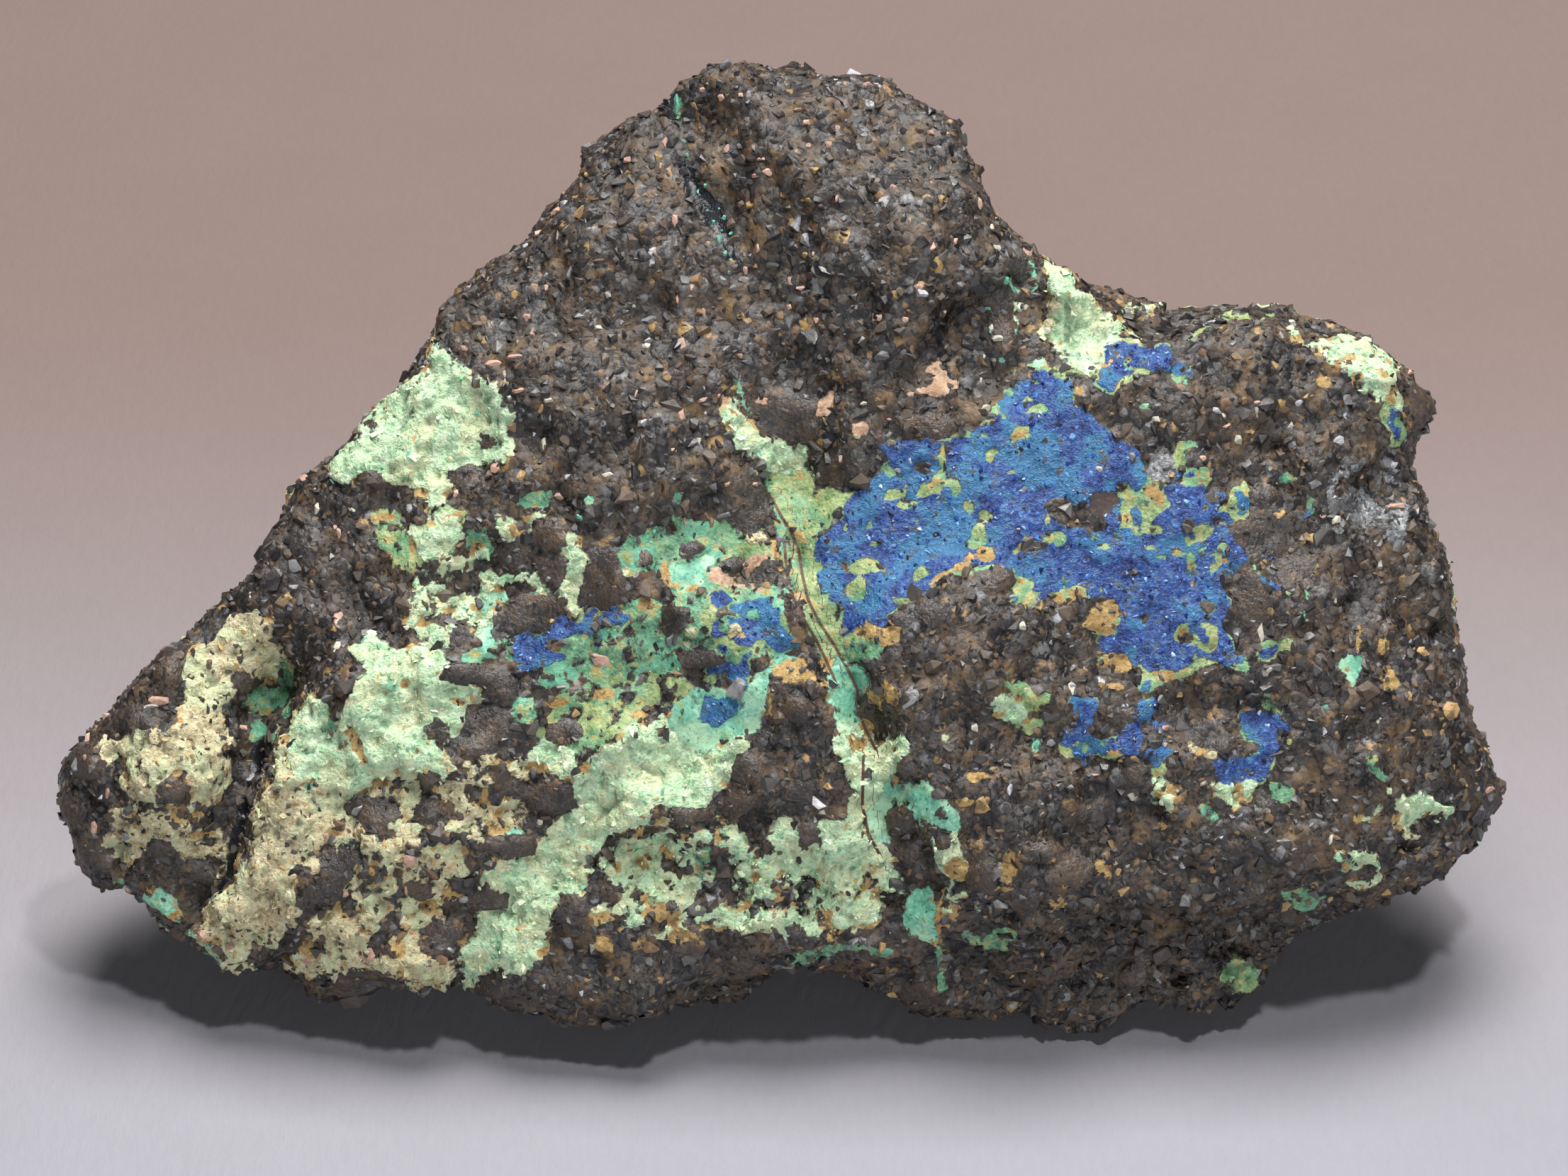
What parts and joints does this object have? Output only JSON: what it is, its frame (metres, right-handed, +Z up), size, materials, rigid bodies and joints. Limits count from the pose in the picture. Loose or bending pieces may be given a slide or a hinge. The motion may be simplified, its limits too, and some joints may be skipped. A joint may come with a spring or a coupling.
{
  "type": "azurite specimen",
  "caption": "Broken lump of coarse dark sandstone whose sloping front is coated with blue azurite and green malachite, standing on level flats under it.",
  "frame": {"origin": "under the middle of the stone's box, on the surface that it stands on", "axes": "+X along the length of the broad face, +Y away from the side that the broad face looks to, +Z up"},
  "size_m": [0.1208, 0.0608, 0.0681],
  "materials": {
    "mineral_stone": "rough, with glinting grains"
  },
  "bodies": {
    "root": {"azurite_specimen": "mineral_stone"}
  },
  "joints": []
}
